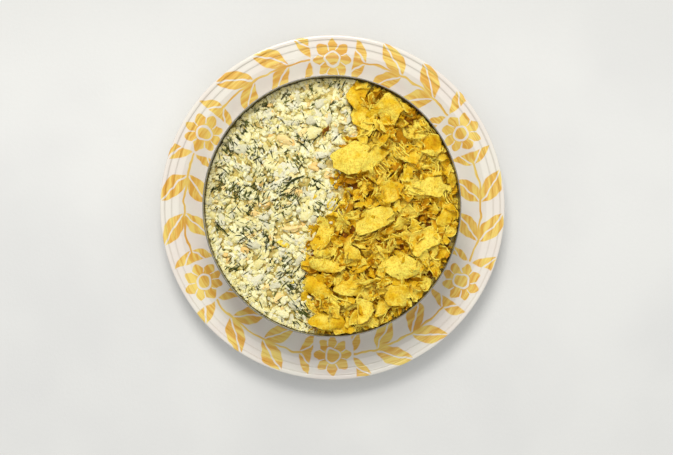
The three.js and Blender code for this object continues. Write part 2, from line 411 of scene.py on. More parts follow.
def salad_finish():
    """The mash of egg and mayonnaise under the bits."""
    material, place = new_material("egg_mash", 0.45, Subsurface_Weight=0.1, Subsurface_Scale=0.002)
    spots = noise(place, 0.28, 4, 0.65)
    cream = mix(ramp(spots, 0.35, 0.65), rgb(176, 150, 60), rgb(214, 192, 102))
    herbs = ramp(noise(place, 0.5, 3, 0.7), 0.55, 0.68, 0, 0.75)
    return dress(material, mix(herbs, cream, rgb(96, 92, 46)), spots, 0.5, 1)


def dill_finish():
    material, place = new_material("dill_green", 0.55, Specular_IOR_Level=0.15)
    share = blotched(attribute(material, "tint"), noise(place, 0.5), 0.5)
    return dress(material, mix(share, rgb(32, 40, 8), rgb(112, 118, 56)))


def crisp_finish(name, brown, deep, golden, pale):
    """Fried potato: golden with deeper and paler fields, painted shade in the hollows of its folds and blisters, rims
    paler as a painted highlight on some and browned on others, and dark specks.
    """
    material, place = new_material(
        name, 0.5, Subsurface_Weight=0.1, Subsurface_Scale=0.002, Subsurface_Radius=(1, 0.6, 0.15),
        Specular_IOR_Level=0.08)
    tint, rim = attribute(material, "tint"), attribute(material, "rim")
    fields = blotched(tint, noise(place, 0.09, 3, 0.55), 1.8, -0.06)
    wave = noise(place, 0.2, 2, 0.5, 0.6)
    fold = ramp(unsigned(minus(wave, 0.5)), 0, 0.035, 1, 0)
    blister = noise(place, 0.65, 2, 0.55)
    specks = add("TexVoronoi", {"Vector": place, "Scale": 0.4, "Randomness": 1}).outputs["Distance"]
    pits = noise(place, 0.4, 3, 0.6, 0.8)
    frying_and_rim_highlight = noise(place, 0.16)
    body = mix(ramp(fields, 0, 0.5), deep, golden)
    for share, tone in (
            (ramp(fields, 0.4, 1), pale),
            # Painted shade: the hollows of the blisters and the fold lines are coloured deeper
            (ramp(blister, 0.52, 0.34, 0, 0.4), deep),
            (times(fold, 0.15), deep),
            # A tint below 0 marks a browned crisp
            (ramp(tint, -0.4, 0, 1, 0), brown),
            (ramp(specks, 0.04, 0.2, 0.25, 0), brown),
            (ramp(pits, 0.5, 0.7, 0, 0.4), deep),
            # Painted highlight: some rims are paler, as thin edges catching the light; the others are browned
            (times(rim, ramp(frying_and_rim_highlight, 0.5, 0.42, 0, 0.9)), pale),
            (times(rim, ramp(frying_and_rim_highlight, 0.52, 0.62, 0, 0.7)), brown)):
        body = mix(share, body, tone)
    return dress(material, body, minus(times(fold, -0.25, blister), 0.5), 0.7, 0.9)


# Shapes as arrays, for what is modelled once and laid many times


class Shape:
    """The points and faces of a modelled piece, kept to be laid in many places."""

    def __init__(self, piece):
        mesh = piece.data
        self.points = np.array([v.co for v in mesh.vertices])
        self.loops = np.array([i for p in mesh.polygons for i in p.vertices], dtype=np.int32)
        self.sizes = np.array([len(p.vertices) for p in mesh.polygons], dtype=np.int32)
        self.feelers = np.vstack([self.points, [p.center for p in mesh.polygons]])
        rim = mesh.attributes.get("rim")
        self.rim = np.array([d.value for d in rim.data]) if rim else np.zeros(len(self.points))
        bpy.data.objects.remove(piece)


class Ground:
    """How high things lie inside the ring so far, on a fine grid, so that each new thing comes to rest on them."""

    cell = 1 * MM

    def __init__(self):
        self.steps = int(2 * RING_RADIUS / self.cell) + 3
        self.corner = -self.steps * self.cell / 2
        line = self.corner + (np.arange(self.steps) + 0.5) * self.cell
        self.xs, self.ys = np.meshgrid(line, line, indexing="ij")
        self.height = SALAD_TOP - dip(self.xs, self.ys)

    def lay(self, points, share, sink, ceiling):
        """Lets points down until this share of them is clear of what lies there, then further, under the ceiling."""
        cells = tuple(((points[:, :2] - self.corner) / self.cell).astype(int).clip(0, self.steps - 1).T)
        lift = np.quantile(self.height[cells] - points[:, 2], share) - sink
        lift = min(lift, ceiling - points[:, 2].max())
        np.maximum.at(self.height, cells, points[:, 2] + lift)
        return lift

    def soften(self):
        """Evens out the heights, for what drapes over them."""
        padded = np.pad(self.height, 1, mode="edge")
        self.height = sum(padded[i:i + self.steps, j:j + self.steps] for i in range(3) for j in range(3)) / 9

    def under(self, points):
        """The height under each point, read smoothly between cells."""
        place = (points[:, :2] - self.corner) / self.cell - 0.5
        low = np.floor(place).astype(int).clip(0, self.steps - 2)
        (i, j), (u, v) = low.T, (place - low).clip(0, 1).T
        h = self.height
        near, far = between(h[i, j], h[i + 1, j], u), between(h[i, j + 1], h[i + 1, j + 1], u)
        return between(near, far, v)


class Layer:
    """Many copies of some shapes, joined into one piece."""

    def __init__(self, name, shapes, ground):
        self.name, self.shapes, self.ground = name, shapes, ground
        self.copies = []

    def inside(self, spread, x, y):
        """Moves a place inwards until nothing there crosses the ring's wall."""
        room = SALAD_RADIUS - 0.3 * MM
        for _ in range(3):
            far = np.hypot(spread[:, 0] + x, spread[:, 1] + y)
            if far.max() > room:
                worst = spread[far.argmax()]
                share = (far.max() - room) / far.max()
                x, y = x - (worst[0] + x) * share, y - (worst[1] + y) * share
        return x, y

    def lay(self, kind, x, y, turn, scale, tint, share, ceiling, sink=0):
        """Lays one copy at x, y from the ring's middle, kept inside the wall."""
        shape = self.shapes[kind]
        matrix = np.array(turn.to_matrix()) * scale
        spread = shape.feelers @ matrix.T
        x, y = self.inside(spread, x, y)
        lift = self.ground.lay(spread + np.array([x, y, 0]), share, sink, ceiling)
        self.copies.append((shape, shape.points @ matrix.T + np.array([x, y, lift]), tint))

    def drape(self, kind, x, y, heading, scale, tint, lift):
        """Lays one limp copy so that it follows what is under it."""
        shape = self.shapes[kind]
        matrix = np.array(Euler((0, 0, heading)).to_matrix()) * scale
        points = shape.points @ matrix.T
        x, y = self.inside(points, x, y)
        points = points + np.array([x, y, 0])
        points[:, 2] += self.ground.under(points) + lift
        self.copies.append((shape, points, tint))

    def piece(self, material, crease=None):
        mesh = bpy.data.meshes.new(self.name)
        shapes, places, tints = zip(*self.copies)
        counts = [len(place) for place in places]
        starts = np.cumsum([0] + counts).tolist()
        points = np.vstack(places) * np.array([1, RING_STRETCH, 1]) + np.array([RING_X, RING_Y, 0])
        loops = np.concatenate([shape.loops + start for shape, start in zip(shapes, starts)])
        sizes, rims = (np.concatenate([getattr(shape, key) for shape in shapes]) for key in ("sizes", "rim"))
        mesh.vertices.add(len(points))
        mesh.vertices.foreach_set("co", points.ravel())
        mesh.loops.add(len(loops))
        mesh.loops.foreach_set("vertex_index", loops)
        mesh.polygons.add(len(sizes))
        mesh.polygons.foreach_set("loop_start", np.concatenate([[0], np.cumsum(sizes)[:-1]]).astype(np.int32))
        for name, values in (("tint", np.repeat(tints, counts)), ("rim", rims)):
            mesh.attributes.new(name, "FLOAT", "POINT").data.foreach_set("value", values)
        mesh.update(calc_edges=True)
        mesh.validate()
        coat(mesh, material)
        if crease:
            mesh.set_sharp_from_angle(angle=radians(crease))
        return in_scene(self.name, mesh)


# The plate and the ring


def set_in_ring(piece):
    """Moves a piece that was made round and in the middle to the ring's own place and shape."""
    only(piece)
    with editing():
        bpy.ops.transform.resize(value=(1, RING_STRETCH, 1), center_override=(0, 0, 0))
        bpy.ops.transform.translate(value=(RING_X, RING_Y, 0))


def turned(name, rings, sides, closed):
    """A turned shell, drawn out ring by ring from its first (radius, height)."""
    radius, height = rings[0]
    fill = "NOTHING" if closed else "NGON"
    bpy.ops.mesh.primitive_circle_add(vertices=sides, radius=radius, fill_type=fill, location=(0, 0, height))
    piece = new_piece(name)
    with editing():
        bpy.ops.mesh.select_mode(type="EDGE")
        for next_radius, next_height in rings[1:]:
            bpy.ops.mesh.extrude_edges_move()
            share = next_radius / radius
            bpy.ops.transform.resize(value=(share, share, 1), center_override=(0, 0, height))
            bpy.ops.transform.translate(value=(0, 0, next_height - height))
            radius, height = next_radius, next_height
        if not closed:
            bpy.ops.mesh.edge_face_add()
    outward(piece)
    return piece


# The plate's outline, over its face to the lip and under to the foot. Each stretch has the radius and the height that
# it is measured from, then how far out and up from there each of its points is, in millimetres
PLATE_OUTLINE = [
    (WELL_RADIUS, WELL_TOP, [(-83, 0), (-43, 0), (-3, 0), (1, 0.4), (7, 2.8), (15, 8.4)]),
    (PLATE_RADIUS, PLATE_TOP, [
        (-16.5, -4.3), (-15.4, -4), (-15, -3.55), (-14.4, -3.45), (-10.2, -2.9), (-9.4, -2.8), (-9, -2),
        (-8.3, -1.75), (-4.6, -1.45), (-4, -1.35), (-3.7, -0.5), (-3, -0.15), (-1.6, 0.1), (-0.1, -0.3),
        (0.1, -1.6), (-1, -3), (-7, -6)]),
    (WELL_RADIUS, WELL_TOP, [(17, 3.2), (6, -3.9)]),
    (FOOT_RADIUS, 0, [
        (8, 3.1), (0.6, 2.6), (0, 0.5), (-0.6, 0), (-7.4, 0), (-8, 0.5), (-9.4, 2.7), (-12, 3), (-54, 3)]),
]


def make_plate():
    rings = [(radius + out * MM, height + up * MM) for radius, height, steps in PLATE_OUTLINE for out, up in steps]
    plate = turned("painted_plate", rings, 96, closed=False)
    finish_with(plate, "SUBSURF", levels=1, render_levels=1)
    coat(plate.data, plate_glaze())
    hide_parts("dinner_plate")
    return plate


def make_ring():
    inner, outer = RING_RADIUS - RING_WALL, RING_RADIUS
    soft = 0.2 * MM
    low, top = WELL_TOP + 0.1 * MM, RING_TOP
    middle = (low + top) / 2
    rings = [
        (inner, low + soft), (inner + soft, low), (outer - soft, low), (outer, low + soft), (outer, middle),
        (outer, top - soft), (outer - soft, top), (inner + soft, top), (inner, top - soft), (inner, middle),
        (inner, low + soft),
    ]
    ring = turned("steel_ring", rings, 192, closed=True)
    set_in_ring(ring)
    coat(ring.data, brushed_band())
    bpy.ops.object.shade_smooth_by_angle(angle=radians(40))
    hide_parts("ring_mould")
    return ring


# The salad


def make_salad_core():
    """A pressed round of salad, its top rough where no crisps cover it."""
    bpy.ops.mesh.primitive_circle_add(vertices=160, radius=SALAD_RADIUS, fill_type="NGON", location=(0, 0, SALAD_TOP))
    core = new_piece("egg_salad")
    with editing():
        bpy.ops.mesh.select_mode(type="FACE")
        for _ in range(47):
            bpy.ops.mesh.inset(thickness=2 * MM)
        bpy.ops.mesh.poke()
        select_borders("EDGE")
        bpy.ops.mesh.extrude_edges_move()
        bpy.ops.transform.translate(value=(0, 0, WELL_TOP + 0.2 * MM - SALAD_TOP))
        bpy.ops.mesh.edge_face_add()
    top = core.vertex_groups.new(name="top")
    top.add([
        v.index for v in core.data.vertices
        if v.co.z > SALAD_TOP - MM and hypot(v.co.x, v.co.y) < SALAD_RADIUS - 0.5 * MM], 1, "REPLACE")
    roughen(core, "egg_lumps", 5 * MM, 3 * MM, "Z", "LOCAL", vertex_group="top")
    for v in core.data.vertices:
        if v.co.z > SALAD_TOP - 3 * MM:
            v.co.z -= float(dip(v.co.x, v.co.y))
    outward(core)
    core.vertex_groups.clear()
    set_in_ring(core)
    coat(core.data, salad_finish())
    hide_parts("egg_and_dill_salad")
    return core


def chopped_bit(seed, cuts, rounds):
    """A bit of chopped egg, about 1 across before it is sized: a block trimmed by slanting cuts, then softened."""
    dice = random.Random(seed)
    bpy.ops.mesh.primitive_cube_add(size=1)
    bit = new_piece("bit")
    with editing():
        for _ in range(cuts):
            normal = Vector([dice.gauss(0, 1) for _ in range(3)]).normalized()
            cut_along(normal * dice.uniform(0.3, 0.5), normal, clear_outer=True, use_fill=True)
        bpy.ops.mesh.select_all(action="SELECT")
        bpy.ops.mesh.remove_doubles(threshold=0.12)
        bpy.ops.transform.vertex_random(offset=0.08, seed=seed)
        if rounds:
            bpy.ops.transform.resize(value=(1.25, 1.25, 1.25))
    if rounds:
        finish_with(bit, "SUBSURF", levels=rounds, render_levels=rounds)
    if rounds > 1:
        stand_at(bit, 3 * seed)
        roughen(bit, "uneven", 0.35, 0.35, "NORMAL")
    outward(bit)
    return Shape(bit)


def find_place(dice, fits, by_wall=False):
    """Draws places over the ring, or against its wall, until one fits. It is x and y from the ring's middle."""
    while True:
        if by_wall:
            heading = dice.uniform(0, 2 * pi)
            x, y = SALAD_RADIUS * cos(heading), SALAD_RADIUS * sin(heading)
        else:
            x, y = dice.uniform(-1, 1) * SALAD_RADIUS, dice.uniform(-1, 1) * SALAD_RADIUS
        if fits(x, y):
            return x, y


def in_egg(dice, reach_under=7 * MM):
    return find_place(
        dice, lambda x, y: hypot(x, y) < SALAD_RADIUS - 1.5 * MM and x < front_at(y) + reach_under)


def by_egg_wall(dice):
    return find_place(dice, lambda x, y: x < front_at(y) + 3 * MM, by_wall=True)


# Egg chunks that stand out: x, y, length, width and heading
WHITE_CHUNKS = [
    (-1, 1, 10, 7, 20), (-36, -41, 8, 7, 0), (-26, -41, 9, 7, 40), (-36, 27, 17, 12, 35), (-70, 44, 14, 7, 10),
    (-70, 30, 13, 6, -5), (-42, 18, 12, 8, 20), (-30, 64, 13, 6, 10), (-76, 48, 9, 7, 80), (-84, 35, 11, 7, 0),
    (-85, 25, 7, 5, 60), (-8, 80, 10, 7, 20), (-15, 66, 8, 7, -20), (-58, -56, 10, 7, 35), (-30, 76, 9, 6, -10),
    (-16, -10, 8, 6, 60), (-60, -30, 10, 7, -30), (-86, -10, 8, 6, 80), (-44, -60, 9, 6, 10), (-28, -76, 10, 7, -40),
    (-8, 40, 9, 6, 0), (-50, 70, 10, 7, 40), (-54, -8, 9, 6, 15),
]
YOLK_CHUNKS = [
    (-37, 51, 14, 6, -20), (-32, 12, 9, 5, 15), (-26, 10, 7, 5, 30), (-3, 24, 7, 5, 70), (-31, -17, 13, 5, 10),
    (-60, -6, 7, 5, 0), (-52, 2, 7, 4, 10), (-68, -34, 7, 5, 0), (-42, -70, 8, 5, 40), (-22, 57, 7, 5, 30),
    (-14, 30, 8, 5, -30),
]
CREAM_CHUNKS = [
    (-16, 57, 15, 9, 20), (-19, -4, 13, 9, 75), (-66, 54, 8, 7, 60), (-48, 31, 9, 7, 0), (-26, 68, 9, 7, 30),
    (-70, -12, 9, 7, 20), (-34, -26, 9, 7, -20), (-58, -44, 9, 7, 60), (-24, -52, 8, 6, 0), (-38, -82, 9, 7, -30),
]
CHUNK_HEIGHT = 3.2 * MM
THINNEST_BIT = 1.6 * MM
# The kinds of bits, by their place in the list of shapes
SHARP, SOFT, SLABS = range(0, 8), range(8, 16), range(16, 26)
SMALL = [*SHARP, *SOFT]
# The egg stays below this, so that the space over it is free
EGG_CEILING = SALAD_TOP + 4.1 * MM


def make_egg(ground):
    dice = random.Random(EGG_SEED)
    uniform, gauss = dice.uniform, dice.gauss
    shapes = [chopped_bit(seed, 6, 0) for seed in SHARP]
    shapes += [chopped_bit(seed, 4, 1) for seed in SOFT]
    shapes += [chopped_bit(seed, 5, 2) for seed in SLABS]
    white, cream, yolk = (Layer(f"egg_{kind}_bits", shapes, ground) for kind in ("white", "cream", "yolk"))

    def strew(layer, kinds, least, most, count, lean=0.55, sink=0.06, thickness=0.62, place=in_egg):
        """Strews bits of some kinds. The least and the most across are in millimetres."""
        for _ in range(count):
            x, y = place(dice)
            size = between(least, most, dice.random() ** 1.5) * MM
            scale = (
                size * uniform(0.85, 1.15), size * uniform(0.5, 0.85),
                max(THINNEST_BIT, size * thickness * uniform(0.75, 1.2)))
            kind, heading = dice.choice(kinds), uniform(0, 6.3)
            layer.lay(
                kind, x, y, Euler((gauss(0, lean), gauss(0, lean), heading)), scale, dice.random(), 0.5,
                EGG_CEILING, sink * size)

    def set_down(layer, chunks):
        for x, y, length, width, heading in chunks:
            kind = dice.choice(SLABS)
            layer.lay(
                kind, x * MM, y * MM, Euler((gauss(0, 0.1), gauss(0, 0.1), radians(heading))),
                (length * MM, width * MM, CHUNK_HEIGHT), uniform(0, 0.7), 0.6, EGG_CEILING)

    strew(cream, SMALL, 4, 8, 420)
    strew(white, SMALL, 4, 8, 100)
    strew(yolk, SOFT, 3, 6, 80)
    strew(cream, SLABS, 7, 13, 150, 0.25, 0.08, 0.32)
    strew(white, SLABS, 7, 13, 62, 0.22, 0.08, 0.3)
    strew(cream, SMALL, 3, 6.5, 420)
    strew(yolk, SMALL, 2.5, 5.5, 90)
    set_down(white, WHITE_CHUNKS)
    strew(white, SOFT, 2.5, 5, 90)
    strew(cream, SMALL, 2.5, 5, 330)
    set_down(cream, CREAM_CHUNKS)
    set_down(yolk, YOLK_CHUNKS)
    strew(cream, SHARP, 1.6, 3.2, 420, 0.6)
    strew(cream, SOFT, 3, 6, 190, 0.4, 0.1, 0.6, by_egg_wall)
    strew(white, SOFT, 3, 6, 35, 0.4, 0.1, 0.6, by_egg_wall)
    strew(cream, SHARP, 2.2, 4.2, 260, 0.5, 0.1, 0.8, by_egg_wall)
    return [
        white.piece(egg_finish("egg_white", rgb(214, 209, 172), rgb(247, 242, 210)), 35),
        cream.piece(egg_finish("egg_cream", rgb(238, 225, 148), rgb(254, 250, 206)), 50),
        yolk.piece(egg_finish("egg_yolk", rgb(246, 204, 122), rgb(255, 234, 164)), 35),
    ]


THREAD_THICKNESS = 0.15


def dill_thread(seed, strands, cuts=3, bow=None, slim=1):
    """Dill threads along X, 1 long before they are sized, bent and tapered, fanning out from one end."""
    dice = random.Random(seed)
    for strand in range(strands):
        bpy.ops.mesh.primitive_cylinder_add(
            vertices=4, radius=THREAD_THICKNESS / 2, depth=1, rotation=(0, pi / 2, 0))
        thread = new_piece("thread")
        with editing():
            for cut in range(cuts):
                cut_along(((cut + 1) / (cuts + 1) - 0.5, 0, 0), (1, 0, 0))
        curve = dice.uniform(-0.07, 0.07) if bow is None else bow
        fan = strand * dice.choice((-1, 1)) * dice.uniform(0.2, 0.45)
        start, length = dice.uniform(0, 0.45) * (strand > 0), dice.uniform(0.4, 0.7) if strand else 1
        for v in thread.data.vertices:
            along, taper = v.co.x + 0.5, 1 - 0.75 * abs(2 * v.co.x) ** 3
            across = v.co.y * taper * slim + 4 * curve * (along - along * along) + sin(fan) * along * length
            v.co = (start + along * length * cos(fan) - 0.5, across, v.co.z * taper * slim)
        if strand:
            only(first)
            thread.select_set(True)
            bpy.ops.object.join()
        else:
            first = thread
    return Shape(first)


# Where dill lies thickest: x, y and spread
DILL_CLUSTERS = [
    (-52, 18, 12), (-64, 8, 11), (-78, 12, 10), (-40, 14, 9), (-8, -2, 6), (-12, -30, 6), (-24, -82, 8),
    (-14, -88, 5), (-56, 40, 9), (-38, -4, 9), (-26, 36, 7), (-14, 18, 5), (-36, -46, 10), (-18, -68, 6), (-84, 20, 7),
    (-80, 44, 6), (-66, -20, 9), (-48, -28, 8), (-70, 58, 5), (-30, -62, 7), (-88, -14, 5), (-76, -46, 4),
    (-30, 8, 7), (-20, 52, 5),
]
# The same by the far wall, every 12 degrees
WALL_DILL = [(93 * cos(radians(way)), 93 * sin(radians(way)), 2) for way in range(100, 184, 12)]
# The longest dill: x and y of both ends, its bow to the left and its thickness
LONG_DILL = [
    (-36, 15, -21, 23, 0.1, 1.8), (-21, 23, -5, 15, 0.04, 0.8), (-34, 9, -24, 16, 0.04, 0.8),
    (-62, 34, -50, 39, 0.1, 0.8), (-47, -33, -37, -28, -0.1, 0.8), (-29, 51, -18, 42, 0.08, 0.9),
    (-44, 69, -36, 62, 0.1, 0.8), (-40, -66, -31, -58, 0.2, 0.8), (-81, -6, -73, 3, -0.1, 0.8),
    (-70, 16, -58, 12, 0.1, 0.8), (-52, -12, -42, -18, 0.1, 0.8), (-88, 30, -80, 24, 0.1, 0.8),
    (-16, 47, -8, 55, 0.1, 0.8), (-74, -30, -64, -22, 0.1, 0.8), (-20, -50, -27, -58, 0.15, 0.8),
]


def make_dill(ground):
    dice = random.Random(DILL_SEED)
    uniform, gauss, draw = dice.uniform, dice.gauss, dice.random
    shapes = [dill_thread(seed, (1, 1, 1, 2, 1, 1, 1, 1, 3)[seed % 9]) for seed in range(18)]
    bows = [
        dill_thread(40 + i, 1, 7, bow, thickness / THREAD_THICKNESS / hypot(x1 - x0, y1 - y0))
        for i, (x0, y0, x1, y1, bow, thickness) in enumerate(LONG_DILL)
    ]
    threads = Layer("dill_threads", shapes + bows, ground)
    ground.soften()

    def combed(x, y):
        """The slant that most threads take round x, y."""
        side = 1 if sin(x / (8 * MM) + 1) + sin(y / (10 * MM)) > 0 else -1
        return side * radians(50) + gauss(0, 0.25)

    def lay(x, y, heading):
        length = between(3, 7.5, draw() ** 1.2) * MM
        thickness = uniform(3.6, 6) * MM
        kind, tint = dice.randrange(len(shapes)), draw() ** 1.3
        threads.drape(
            kind, x, y, heading, (length, min(length, thickness), thickness), tint, uniform(-0.3, 0.4) * MM)

    for _ in range(400):
        x, y = in_egg(dice, 1 * MM)
        lay(x, y, combed(x, y) if draw() < 0.8 else uniform(0, 6.3))
    for x, y, spread in DILL_CLUSTERS + WALL_DILL:
        heading = combed(x * MM, y * MM)
        for _ in range(int(spread * 3.1)):
            px, py = (x + gauss(0, spread / 2)) * MM, (y + gauss(0, spread / 2)) * MM
            if hypot(px, py) < SALAD_RADIUS - 2 * MM and px < front_at(py):
                lay(px, py, heading + gauss(0, 0.25) if draw() < 0.85 else uniform(0, 6.3))
    for i, (x0, y0, x1, y1, _, _) in enumerate(LONG_DILL):
        heading, length = atan2(y1 - y0, x1 - x0), hypot(x1 - x0, y1 - y0) * MM
        middle = (x0 + x1) / 2 * MM, (y0 + y1) / 2 * MM
        threads.drape(len(shapes) + i, *middle, heading, length, 0.15, 0.4 * MM)
    return threads.piece(dill_finish())


# The crisps


def bend(piece, angle, heading):
    """Curls a sheet about a line through its middle: over like a dome, or up like a bowl if the angle is below 0."""
    upright = Matrix.Rotation(pi / 2, 4, "X") @ Matrix.Rotation(heading, 4, "Z")
    piece.data.transform(upright)
    finish_with(piece, "SIMPLE_DEFORM", deform_method="BEND", deform_axis="Z", angle=angle)
    piece.data.transform(upright.inverted())


def crisp_shape(seed, length, width, cell, curl, sway, crumple, cuts, breaks, fold=0):
    """A crisp trimmed round, broken off in some directions in degrees, then folded, swayed, crumpled and curled.

    The length, the width, the cell, the sway and the crumple are in millimetres.
    """
    length, width, cell, sway, crumple = (value * MM for value in (length, width, cell, sway, crumple))
    dice = random.Random(seed)
    uniform = dice.uniform
    columns, rows = (max(5, round(1.2 * size / cell)) for size in (length, width))
    bpy.ops.mesh.primitive_grid_add(x_subdivisions=columns, y_subdivisions=rows, size=1)
    crisp = new_piece("crisp", (1.2 * length, 1.2 * width, 1))
    with editing():
        start = uniform(0, 6.3)
        trims = [(start + (cut + uniform(-0.35, 0.35)) * 2 * pi / cuts, uniform(0.44, 0.52), 0) for cut in range(cuts)]
        trims += [(radians(way), uniform(0.22, 0.36), dice.gauss(0, 0.25)) for way in breaks]
        for angle, reach, slant in trims:
            outwards = Vector((cos(angle + slant) / length, sin(angle + slant) / width, 0)).normalized()
            cut_along((cos(angle) * length * reach, sin(angle) * width * reach, 0), outwards, clear_outer=True)
        bpy.ops.mesh.select_all(action="SELECT")
        bpy.ops.mesh.remove_doubles(threshold=0.3 * cell)
        bpy.ops.mesh.delete_loose(use_verts=True, use_edges=True, use_faces=False)
        crease = uniform(-0.15, 0.15) * width
        if fold:
            cut_along((0, crease, 0), (0, 1, 0))
        select_borders("VERT")
        bpy.ops.transform.vertex_random(offset=0.15 * cell, seed=seed)
    rim = crisp.data.attributes.new("rim", "FLOAT", "POINT")
    for v, value in zip(crisp.data.vertices, rim.data):
        value.value = float(v.select)
        v.select = v.co.y > crease + 0.05 * cell
    if fold:
        with editing(everything=False):
            bpy.ops.transform.rotate(value=fold, orient_axis="X", center_override=(0, crease, 0))
    stand_at(crisp, 0.09 * seed)
    roughen(crisp, "sway", 0.6 * length, sway, "RGB_TO_XYZ")
    roughen(crisp, "ragged", 4 * MM, 0.35 * crumple + 0.008 * length, "RGB_TO_XYZ")
    roughen(crisp, "crumple", 9 * MM, 1.1 * crumple, "Z")
    heading = uniform(0, 3.1)
    bend(crisp, uniform(0.6, 1.3) * curl, heading)
    bend(crisp, uniform(-0.6, 0.5) * curl, heading + uniform(0.8, 2.2))
    roughen(crisp, "blisters", 2.8 * MM, 0.25 * crumple, "NORMAL")
    finish_with(crisp, "SOLIDIFY", thickness=CRISP_THICKNESS, offset=0)
    outward(crisp)
    return Shape(crisp)


def mound_height(x, y):
    """The bare mound under the crisps, over the flat top of the salad."""
    x, y = np.asarray(x), np.asarray(y)
    rise, sunk = 2.4 * MM, 0.6 * MM
    from_front = (x - front_at(y)) / (15 * MM)
    to_wall = 0.2 + (SALAD_RADIUS - np.hypot(x, y)) / (16 * MM)
    return SALAD_TOP + rise * smooth_share(np.minimum(from_front, to_wall)) - sunk - dip(x, y)


def make_mound():
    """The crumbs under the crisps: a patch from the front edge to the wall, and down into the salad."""
    bpy.ops.mesh.primitive_grid_add(x_subdivisions=90, y_subdivisions=140, size=2)
    mound = new_piece("crisp_mound")
    for v in mound.data.vertices:
        y = v.co.y * (SALAD_RADIUS - 4 * MM)
        wall = sqrt((SALAD_RADIUS - 3 * MM) ** 2 - y * y)
        x = between(float(front_at(y)) + 3 * MM, wall, (v.co.x + 1) / 2)
        v.co = (x, y, float(mound_height(x, y)))
    roughen(mound, "crumb_lumps", 3.5 * MM, 2.4 * MM, "Z", "LOCAL")
    with editing(everything=False):
        select_borders("EDGE")
        bpy.ops.mesh.extrude_edges_move()
        bpy.ops.transform.resize(value=(1, 1, 0), center_override=(0, 0, SALAD_TOP - 4 * MM))
        bpy.ops.mesh.edge_face_add()
    outward(mound)
    set_in_ring(mound)
    # Painted shade: these crumbs are coloured much deeper than the crisps, for the shade in the gaps between them
    coat(mound.data, crisp_finish(
        "packed_crumbs_and_gap_shade", rgb(92, 48, 3), rgb(128, 74, 4), rgb(166, 106, 10), rgb(202, 148, 22)))
    return mound


# The largest crisps, lowest first: x, y, length, width, heading, the rise of the near edge in degrees, the curl, over
# like a dome or up like a bowl if below 0, the directions in which pieces are broken off, and how far crumpled
LARGE_CRISPS = [
    (88, -6, 22, 17, 80, 6, 1, (40,), 2), (80, 47, 23, 17, 75, 8, -1, (200,), 1.8),
    (22, 86, 22, 18, 60, 6, 0.9, (300,), 1.8), (-3, -87, 30, 14, -5, 8, 2, (), 1.6),
    (58, 40, 26, 20, -12, 10, -1.3, (100, 250), 2.2), (-10, -62, 23, 18, -40, 8, 1.4, (60,), 2),
    (-10, -26, 19, 17, 20, 10, -1.4, (150,), 1.8), (45, 10, 23, 17, -60, 8, -1.5, (10,), 2.2),
    (16, -35, 23, 20, 30, 10, 1, (45, 135, 225, 315), 1.8), (44, 79, 25, 21, -50, 8, 1.4, (80, 200), 2.2),
    (26, 69, 25, 21, -35, 8, -1, (30,), 2), (50, -67, 26, 19, -20, 8, 1.2, (120,), 2.2),
    (13, -62, 24, 18, 15, 10, 1.6, (260,), 2), (23, -79, 25, 21, 75, 8, -1.2, (0, 140), 1.8),
    (-4, -46, 30, 12, -5, 10, 2.3, (), 1.6), (74, 15, 31, 24, 30, 8, -1.1, (60, 240), 2.2),
    (70, -28, 34, 23, 10, 8, -1, (170, 300), 2.4), (34, -13, 35, 23, 12, 12, 0.9, (250, 310), 2.2),
    (53, -46, 29, 20, -6, 10, 1.5, (), 0.7), (20, 40, 44, 31, 6, 12, 1, (130, 50), 1.4),
]
# How far the smaller crisps are folded along their length, in radians
FOLDS = (0.7, 0, -0.6, 0, 0.45)
# Slivers that stand side by side on edge: x, y, how many, the heading of each and of their row
SLIVER_ROWS = [
    (52, 40, 8, -42, 48), (36, 12, 5, 80, 0), (64, 8, 5, -15, 70), (2, 2, 4, 50, -40), (70, 62, 5, -60, 30),
    (28, -24, 4, 20, -70), (84, 25, 4, 85, 0), (0, -72, 4, -30, 60), (40, -58, 4, 10, 90), (34, 54, 5, 60, -20),
    (60, -12, 5, 15, -75), (38, 30, 5, -50, 40), (88, 8, 4, -70, 20), (8, -10, 4, -40, 50), (44, -32, 4, 70, -10),
]
# Where the heap sinks between the crisps: x, y and reach
HOLLOWS = [(14, -51, 6), (48, 55, 6), (4, 23, 6), (72, -9, 5), (62, 70, 5), (33, -68, 4), (30, 14, 4), (-6, -73, 4)]
# Where the salad shows by the wall: x, y and radius
BARE_SPOTS = [(96, -28, 9), (82, -64, 8), (60, -82, 5)]
# Crisps that fell on the egg: x, y, size, heading and tint
STRAY_CRISPS = [(-35, -28, 1, -25, 0.8), (-13, 8, 0.35, 40, 0.7), (-30, -58, 0.3, 10, 0.7), (-5, 58, 0.62, 60, -0.4)]


def bare(x, y):
    return any(hypot(x / MM - bare_x, y / MM - bare_y) < radius for bare_x, bare_y, radius in BARE_SPOTS)


def on_heap(dice, inset):
    return find_place(dice, lambda x, y: (
        not bare(x, y) and hypot(x, y) < SALAD_RADIUS - 2 * MM and x > front_at(y) + inset))


def by_crisp_wall(dice, _):
    return find_place(dice, lambda x, y: not bare(x, y) and x > front_at(y), by_wall=True)


def heap_ceiling(x, y):
    """The greatest height of the crisps under the largest ones."""
    edge, rise = 4.4 * MM, 7.2 * MM
    from_front = (x - front_at(y)) / (22 * MM) + 0.15
    to_wall = 0.45 + (SALAD_RADIUS - hypot(x, y)) / (30 * MM)
    return SALAD_TOP + edge + rise * float(smooth_share(min(from_front, to_wall))) - 1.3 * float(dip(x, y))


